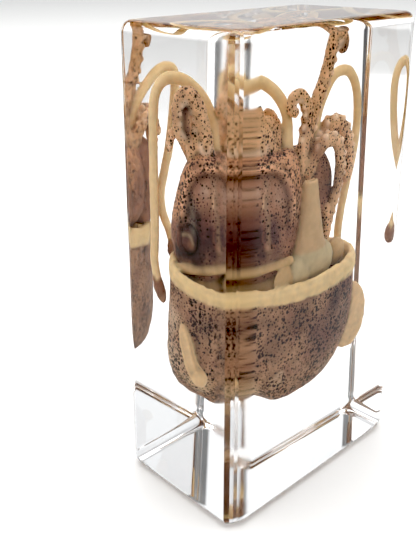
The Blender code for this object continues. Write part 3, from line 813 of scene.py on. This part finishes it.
def tissue_looks(points, p, tissue, edges):
    """The colour between dots, painted shade and highlights included, and the dots' size, at each point of
    the skin.
    """
    colours = spread(tissue_values(tissue, 0)[:, :3], edges, 3)
    dots = spread(tissue_values(tissue, 1), edges, 3)
    ragged = grain(points, RAGGED_SIZE, octaves=3, seed=11.0)
    keep = spread(1.0 - is_tissue(tissue, *PLAIN_TISSUES), edges, 2)
    # Patches and streaks carry painted shade and painted highlights as well as the skin's own colour
    for middle, reach, colour, strength in PATCHES:
        near = soft_step(-distance(p, middle) * (1 + RAGGEDNESS * ragged), -reach, -PATCH_CORE * reach)
        colours = blended(colours, colour, strength * near * keep)
    # A painted highlight on the crest of the hood's lip
    colours = blended(colours, LIP_HIGHLIGHT_COLOUR, LIP_HIGHLIGHT_STRENGTH * hood_lip(p) * is_tissue(tissue, "hood"))
    for route, width, colour, strength in STREAKS:
        colours = blended(colours, colour, strength * fold_share(p, route, width) * keep)
    return colours, dots


def mesh_values(items, name, width, kind=float):
    """A table of one value or several for each point or edge of a mesh."""
    values = np.empty(len(items) * width, dtype=kind)
    items.foreach_get(name, values)
    return values.reshape(-1, width)


def make_squid():
    """The whole squid: its skin's shape first, then what colours it."""
    forms = squid_forms()
    mesh = fused_skin(forms)
    points = mesh_values(mesh.vertices, "co", 3)
    normals = mesh_values(mesh.vertices, "normal", 3)
    edges = mesh_values(mesh.edges, "vertices", 2, np.int64)

    tissue = nearest_tissues(points, forms)
    p = (points - np.array([SQUID_X, 0.0, SQUID_ZERO])) / MM
    lobe = spread(is_tissue(tissue, "head") & (p[:, 0] < LOBE_RIGHT), edges, 2)
    tissue = name_tissues(p, tissue)
    depth = spread(relief(points, p, tissue, lobe), edges, 1)
    points = points + normals * depth[:, None] * MM
    mesh.vertices.foreach_set("co", points.ravel())

    colours, dots = tissue_looks(points, p, tissue, edges)
    # Painted shade in the skin's hollows and a painted highlight on its crests, baked into its colour
    hollow = cavity(points, normals, edges)[:, None]
    colours = colours * (1 - CAVITY_SHADE * np.maximum(hollow, 0) + CREST_SHINE * np.maximum(-hollow, 0))
    paint = mesh.color_attributes.new("tissue_colour_and_painted_light", "FLOAT_COLOR", "POINT")
    opaque = np.column_stack([colours, np.ones(len(points))])
    paint.data.foreach_set("color", opaque.astype(np.float32).ravel())
    mesh.attributes.new("dots", "FLOAT", "POINT").data.foreach_set("value", dots.astype(np.float32))
    mesh.shade_smooth()
    mesh.update()
    squid = bpy.data.objects.new("squid_body", mesh)
    bpy.context.scene.collection.objects.link(squid)
    mesh.materials.append(skin_material())
    return squid


class Nodes:
    """Short ways to build a material's nodes."""

    def __init__(self, material):
        material.use_nodes = True
        self.tree = material.node_tree
        self.shader = self.tree.nodes.get("Principled BSDF")

    def add(self, kind, inputs=None, **settings):
        node = self.tree.nodes.new(kind)
        for name, value in settings.items():
            setattr(node, name, value)
        for name, value in (inputs or {}).items():
            self.feed(value, node.inputs[name])
        return node

    def feed(self, value, socket):
        if isinstance(value, bpy.types.NodeSocket):
            self.tree.links.new(value, socket)
        else:
            socket.default_value = value

    def sums(self, operation, *values):
        return self.add("ShaderNodeMath", dict(enumerate(values)), operation=operation).outputs[0]

    def vectors(self, operation, *values):
        """Sums with vectors, which give a number where the operation measures something."""
        node = self.add("ShaderNodeVectorMath", dict(enumerate(values)), operation=operation)
        measured = operation in ("LENGTH", "DISTANCE", "DOT_PRODUCT")
        return node.outputs["Value" if measured else "Vector"]

    def remap(self, value, low, high, to_low=0.0, to_high=1.0):
        inputs = {"Value": value, "From Min": low, "From Max": high, "To Min": to_low, "To Max": to_high}
        return self.add("ShaderNodeMapRange", inputs, interpolation_type="SMOOTHSTEP").outputs["Result"]

    def mix(self, share, first, second, blend="MIX"):
        node = self.add("ShaderNodeMix", data_type="RGBA", blend_type=blend)
        self.feed(share, node.inputs[0])
        self.feed(first, node.inputs[6])
        self.feed(second, node.inputs[7])
        return node.outputs[2]

    def read(self, name, output="Fac"):
        return self.add("ShaderNodeAttribute", attribute_name=name).outputs[output]

    def toward(self, where, start, way):
        """The cosine between a way and the course from a start to each place."""
        course = self.vectors("NORMALIZE", self.vectors("SUBTRACT", where, start))
        return self.vectors("DOT_PRODUCT", course, way)

    def cloud(self, where, scale, detail=3.0, roughness=0.55):
        inputs = {"Vector": where, "Scale": scale, "Detail": detail, "Roughness": roughness}
        return self.add("ShaderNodeTexNoise", inputs).outputs["Fac"]


def dot_layer(nodes, where, share, scale, least, most, soft):
    """Round dots, scale of them to the metre, between the least and most size in spacings.
    Their size is times share, and soft is how far their edge fades."""
    cells = nodes.add("ShaderNodeTexVoronoi", {"Vector": where, "Scale": scale, "Randomness": 0.8})
    chance = nodes.add("ShaderNodeSeparateColor", {"Color": cells.outputs["Color"]}).outputs["Red"]
    size = nodes.sums("MULTIPLY", nodes.remap(chance, 0.0, 1.0, least, most), share)
    beyond = nodes.sums("SUBTRACT", cells.outputs["Distance"], size)
    return nodes.remap(beyond, -soft, soft, 1.0, 0.0)


def skin_material():
    """Preserved squid skin: waxy flesh under dark brown and purple colour dots."""
    material = bpy.data.materials.new("squid_skin")
    nodes = Nodes(material)
    where = nodes.add("ShaderNodeTexCoord").outputs["Object"]
    wobble = nodes.add("ShaderNodeTexNoise", {"Vector": where, "Scale": 1400.0, "Detail": 1.0})
    shift = nodes.vectors("MULTIPLY", wobble.outputs["Color"], (DOT_WOBBLE,) * 3)
    bent = nodes.vectors("ADD", where, shift)
    dots = nodes.read("dots")

    darkest = nodes.remap(dots, 0.0, 0.6, 0.94, 0.8)
    mottle = nodes.remap(nodes.cloud(where, 620.0, detail=4.0), 0.3, 0.7, darkest, 1.06)
    grey = nodes.add("ShaderNodeCombineColor", {"Red": mottle, "Green": mottle, "Blue": mottle}).outputs[0]
    flesh = nodes.mix(1.0, nodes.read("tissue_colour_and_painted_light", "Color"), grey, "MULTIPLY")
    blush = nodes.sums("MULTIPLY", nodes.remap(nodes.cloud(where, 260.0), 0.48, 0.72, 0.0, 0.4), dots)
    flesh = nodes.mix(blush, flesh, BLUSH)

    crowd = nodes.remap(nodes.cloud(where, 200.0, detail=2.0), 0.35, 0.65, 0.8, 1.15)
    share = nodes.sums("MULTIPLY", dots, crowd)
    large = dot_layer(nodes, bent, share, scale=1350.0, least=0.2, most=0.38, soft=0.05)
    small = dot_layer(nodes, bent, share, scale=2200.0, least=0.2, most=0.44, soft=0.06)
    flesh = nodes.mix(nodes.sums("MULTIPLY", small, 0.9), flesh, SMALL_DOT_COLOUR)
    colour = nodes.mix(nodes.sums("MULTIPLY", large, 0.94), flesh, LARGE_DOT_COLOUR)
    nodes.feed(colour, nodes.shader.inputs["Base Color"])

    rough = nodes.remap(nodes.cloud(where, 900.0), 0.3, 0.7, 0.42, 0.68)
    nodes.feed(rough, nodes.shader.inputs["Roughness"])
    folds = nodes.cloud(where, 1300.0, detail=5.0, roughness=0.6)
    height = nodes.sums("ADD", folds, nodes.sums("MULTIPLY", large, -0.15))
    bump = nodes.add("ShaderNodeBump", {"Height": height, "Strength": 0.6, "Distance": 0.00016})
    nodes.feed(bump.outputs["Normal"], nodes.shader.inputs["Normal"])
    nodes.shader.inputs["Specular IOR Level"].default_value = 0.2
    nodes.shader.inputs["Subsurface Weight"].default_value = 0.12
    nodes.shader.inputs["Subsurface Radius"].default_value = (1.0, 0.55, 0.35)
    nodes.shader.inputs["Subsurface Scale"].default_value = 0.0006
    return material


def resin_material():
    """Clear cast resin, polished, with the faint waves and haze that polishing leaves."""
    material = bpy.data.materials.new("clear_resin")
    nodes = Nodes(material)
    where = nodes.add("ShaderNodeTexCoord").outputs["Object"]
    shader = nodes.shader
    shader.inputs["Base Color"].default_value = (1.0, 1.0, 1.0, 1.0)
    shader.inputs["Transmission Weight"].default_value = 1.0
    shader.inputs["IOR"].default_value = RESIN_IOR
    haze = nodes.remap(nodes.cloud(where, 300.0, detail=4.0), 0.55, 0.8, 0.0, 0.012)
    spot = nodes.add("ShaderNodeSeparateXYZ", {"Vector": where}).outputs
    along = nodes.sums("ADD", spot["X"], spot["Y"])
    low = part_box("block_front")[0]
    full, none = [low[0] + low[1] + reach for reach in NEAR_HAZE_REACH]
    edge_haze = nodes.remap(along, full, none, NEAR_HAZE, 0.0)
    nodes.feed(nodes.sums("ADD", haze, edge_haze), shader.inputs["Roughness"])
    wave = nodes.cloud(where, 90.0, detail=1.0)
    bump = nodes.add("ShaderNodeBump", {"Height": wave, "Strength": 1.0, "Distance": 0.00002})
    nodes.feed(bump.outputs["Normal"], shader.inputs["Normal"])
    return material


def round_corner(ahead=EDGE_RADIUS, aside=EDGE_RADIUS):
    """A rounded corner, from one face to the next: points as reach from the sharp corner
    back along each face, and for each side the turn of the surface at its two ends."""
    steps = [math.pi / 2 * k / EDGE_STEPS for k in range(EDGE_STEPS + 1)]
    points = [(ahead * (1 - math.cos(t)), aside * (1 - math.sin(t))) for t in steps]
    turns = [math.atan2(ahead * math.sin(t), aside * math.cos(t)) for t in steps]
    return points, list(zip(turns, turns[1:]))


def near_corner():
    """The same for the near corner: three narrow flats, then a wide round."""
    arc_turns = [NEAR_ARC_TURN * k / EDGE_STEPS for k in range(EDGE_STEPS + 1)]
    points = [
        (NEAR_REACH - NEAR_ARC_RADIUS * math.sin(t), NEAR_ARC_RADIUS * (1 - math.cos(t)))
        for t in reversed(arc_turns)
    ]
    sides = [(math.pi / 2 - a, math.pi / 2 - b) for a, b in zip(arc_turns[:0:-1], arc_turns[-2::-1])]
    for turn in FLAT_TURNS:
        x, y = points[0]
        length = x / math.cos(turn)
        if turn != FLAT_TURNS[-1]:
            length = min(FLAT_LENGTH, length)
        points.insert(0, (x - length * math.cos(turn), y + length * math.sin(turn)))
        sides.insert(0, (math.pi / 2 - turn,) * 2)
    return points, sides


def plan_outline(low, high, inset):
    """The block's outline from above, drawn in by an inset: points, and two facings a side."""
    share = 1 - inset / EDGE_RADIUS
    spots = (
        (high[0], high[1], round_corner(EDGE_RADIUS, BACK_RIGHT_REACH)),
        (low[0], high[1], round_corner()),
        (low[0], low[1], near_corner()),
        (high[0], low[1], round_corner(EDGE_RADIUS, NEAR_RIGHT_REACH)),
    )
    points = []
    sides = []
    for quarter, (x, y, (path, turns)) in enumerate(spots):
        spin = Matrix.Rotation(quarter * math.pi / 2, 3, "Z")
        ahead = spin @ Vector((1.0, 0.0, 0.0))
        aside = spin @ Vector((0.0, 1.0, 0.0))
        corner = Vector((x, y, 0.0)) - (ahead + aside) * inset
        for back_along, back_aside in path:
            points.append(corner - (ahead * back_along + aside * back_aside) * share)
        for pair in turns:
            sides.append(tuple(ahead * math.cos(t) + aside * math.sin(t) for t in pair))
        sides.append((aside, aside))
    return points, sides


def make_block():
    """The whole clear block, which the CAD model parts in two halves."""
    low = np.minimum(*[np.array(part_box(node)[0]) for node in ("block_front", "block_back")])
    high = np.maximum(*[np.array(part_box(node)[1]) for node in ("block_front", "block_back")])
    quarter = [math.pi / 2 * k / EDGE_STEPS for k in range(EDGE_STEPS + 1)]
    levels = [(FOOT_EDGE_RADIUS, low[2], -1, angle) for angle in reversed(quarter)]
    levels += [(TOP_EDGE_RADIUS, high[2], 1, angle) for angle in quarter]
    points = []
    rings = []
    for radius, level, side, angle in levels:
        outline, sides = plan_outline(low, high, radius * (1 - math.cos(angle)))
        height = level - side * radius * (1 - math.sin(angle))
        facings = [
            [facing * math.cos(angle) + Vector((0.0, 0.0, side * math.sin(angle))) for facing in pair]
            for pair in sides
        ]
        rings.append((len(points), facings))
        points.extend(point + Vector((0.0, 0.0, height)) for point in outline)
    count = len(outline)
    faces = []
    normals = []
    for (lower, low_facings), (upper, high_facings) in zip(rings, rings[1:]):
        for i in range(count):
            j = (i + 1) % count
            faces.append((lower + i, lower + j, upper + j, upper + i))
            normals.extend((low_facings[i][0], low_facings[i][1], high_facings[i][1], high_facings[i][0]))
    faces.append(tuple(reversed(range(count))))
    normals.extend([Vector((0.0, 0.0, -1.0))] * count)
    faces.append(tuple(range(len(points) - count, len(points))))
    normals.extend([Vector((0.0, 0.0, 1.0))] * count)
    mesh = bpy.data.meshes.new("clear_block")
    mesh.from_pydata(points, [], faces)
    mesh.shade_smooth()
    mesh.normals_split_custom_set(normals)
    mesh.materials.append(resin_material())
    block = bpy.data.objects.new("clear_block", mesh)
    bpy.context.scene.collection.objects.link(block)
    return block


def floor_material():
    """A pale sheet, with painted shade at two sides and in two round places away from its middle."""
    material = bpy.data.materials.new("floor")
    nodes = Nodes(material)
    where = nodes.add("ShaderNodeTexCoord").outputs["Object"]
    away = nodes.vectors("LENGTH", where)
    dim = 0.0
    for way in DIM_WAYS:
        dim = nodes.sums("MAXIMUM", dim, nodes.remap(nodes.toward(where, (0.0, 0.0, 0.0), way), *DIM_FADE))
    dim = nodes.sums("MULTIPLY", dim, nodes.remap(away, *DIM_START))
    sheet = nodes.toward(where, SHEET_TIP, SHEET_WAY)
    dim = nodes.sums("MULTIPLY", dim, nodes.remap(sheet, *SHEET_FADE, 1.0, 0.0))
    for middle, reach in FLOOR_DISCS:
        off = nodes.vectors("DISTANCE", where, middle)
        edge = nodes.sums("ABSOLUTE", nodes.sums("SUBTRACT", off, reach))
        grey = nodes.remap(off, reach - DISC_RIM_WIDTH, reach, DISC_SHADE, 0.0)
        grey = nodes.sums("ADD", grey, nodes.remap(edge, 0.0, DISC_RIM_WIDTH, DISC_RIM, 0.0))
        dim = nodes.sums("MAXIMUM", dim, grey)
    nodes.feed(nodes.mix(dim, FLOOR_PALE, FLOOR_SHADE), nodes.shader.inputs["Base Color"])
    nodes.shader.inputs["Roughness"].default_value = 0.9
    return material


def make_floor():
    bm = bmesh.new()
    low = Matrix.Translation((0.0, 0.0, -AIR_GAP))
    bmesh.ops.create_grid(bm, x_segments=1, y_segments=1, size=FLOOR_HALF_WIDTH, matrix=low)
    mesh = bpy.data.meshes.new("floor")
    bm.to_mesh(mesh)
    bm.free()
    mesh.materials.append(floor_material())
    floor = bpy.data.objects.new("floor", mesh)
    bpy.context.scene.collection.objects.link(floor)


def make_world():
    """A pale studio: bright behind and above the block, dim around."""
    world = bpy.data.worlds.new("studio")
    bpy.context.scene.world = world
    nodes = Nodes(world)
    toward = nodes.add("ShaderNodeTexCoord").outputs["Generated"]
    glow = ROOM_GLOW
    for side, low, high, strength in SOFT_BOXES:
        facing = nodes.vectors("DOT_PRODUCT", toward, side)
        glow = nodes.sums("MAXIMUM", glow, nodes.remap(facing, low, high, 0.0, strength))
    background = nodes.tree.nodes["Background"]
    background.inputs["Color"].default_value = ROOM_TINT
    nodes.feed(glow, background.inputs["Strength"])


def add_top_light():
    """A square lamp that shines at the block's foot."""
    where, size, power = TOP_LIGHT
    light = bpy.data.lights.new("top_light", "AREA")
    light.shape = "SQUARE"
    light.size = size
    light.energy = power
    lamp = bpy.data.objects.new("top_light", light)
    lamp.location = where
    lamp.rotation_euler = (-Vector(where)).to_track_quat("-Z", "Y").to_euler()
    bpy.context.scene.collection.objects.link(lamp)


def make_camera():
    azimuth, elevation = CAMERA_AZIMUTH, CAMERA_ELEVATION
    ahead = Vector((
        math.sin(azimuth) * math.cos(elevation),
        math.cos(azimuth) * math.cos(elevation),
        -math.sin(elevation),
    ))
    right = ahead.cross(Vector((0, 0, 1))).normalized()
    up = right.cross(ahead)
    turned_right = right * math.cos(CAMERA_ROLL) + up * math.sin(CAMERA_ROLL)
    turned_up = up * math.cos(CAMERA_ROLL) - right * math.sin(CAMERA_ROLL)
    data = bpy.data.cameras.new("camera")
    data.sensor_width = SENSOR
    data.lens = FOCAL_PIXELS / IMAGE_HEIGHT * SENSOR
    data.shift_x = (IMAGE_WIDTH / 2 - AXIS_PIXEL[0]) / IMAGE_HEIGHT
    data.shift_y = (AXIS_PIXEL[1] - IMAGE_HEIGHT / 2) / IMAGE_HEIGHT
    data.clip_start = NEAREST_SEEN
    camera = bpy.data.objects.new("camera", data)
    bpy.context.scene.collection.objects.link(camera)
    turn = Matrix((turned_right, turned_up, -ahead)).transposed().to_4x4()
    camera.matrix_world = Matrix.Translation(CAMERA_PLACE) @ turn
    bpy.context.scene.camera = camera


def set_render():
    scene = bpy.context.scene
    scene.cycles.use_denoising = True
    scene.cycles.max_bounces = 20
    scene.cycles.transmission_bounces = 20
    scene.cycles.glossy_bounces = 12
    scene.cycles.diffuse_bounces = 4
    scene.cycles.caustics_refractive = True
    scene.cycles.caustics_reflective = True
    scene.view_settings.view_transform = "Standard"
    scene.view_settings.use_curve_mapping = True
    scene.view_settings.curve_mapping.black_level = BLACK_LEVEL
    scene.view_settings.curve_mapping.update()


def main():
    make_camera()
    make_floor()
    make_world()
    add_top_light()
    squid = make_squid()
    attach(squid, "root")
    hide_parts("squid")
    block = make_block()
    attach(block, "root")
    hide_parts("block_front", "block_back")
    set_render()


main()
bpy.context.view_layer.update()
